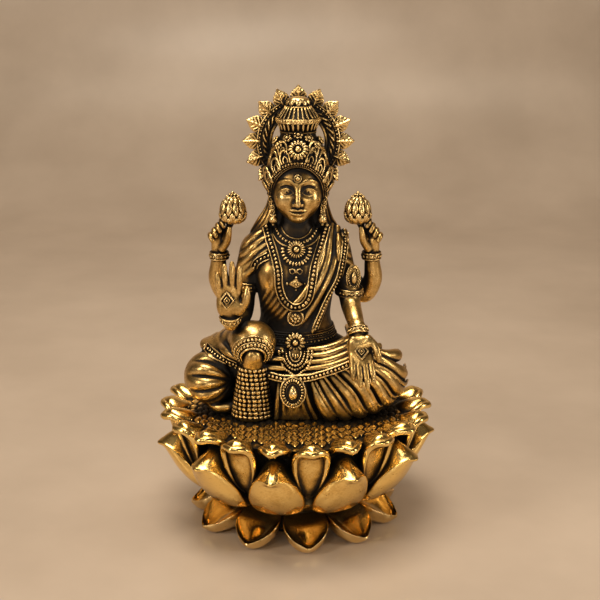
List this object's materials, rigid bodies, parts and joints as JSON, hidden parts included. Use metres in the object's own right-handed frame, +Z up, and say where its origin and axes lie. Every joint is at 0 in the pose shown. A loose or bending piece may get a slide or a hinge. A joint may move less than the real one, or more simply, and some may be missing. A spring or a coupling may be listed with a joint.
{
  "type": "lakshmi figure",
  "caption": "Cast brass tabletop figure of a crowned, seated goddess with raised lotus buds, on a round lotus plinth.",
  "frame": {"origin": "on the ground, under the middle of the plinth", "axes": "+Z up; the figure faces -Y, so her right hands are on the -X side"},
  "size_m": [0.149, 0.1497, 0.232],
  "materials": {
    "plinth_brass": "cast brass, polished on the lips and satin on the outer faces of the petals, dark in the hollows",
    "figure_brass": "antiqued cast brass, rubbed bright on the raised carving and nearly black in the hollows"
  },
  "bodies": {
    "root": {"lotus_plinth": "plinth_brass", "lakshmi_figure": "figure_brass"}
  },
  "joints": []
}
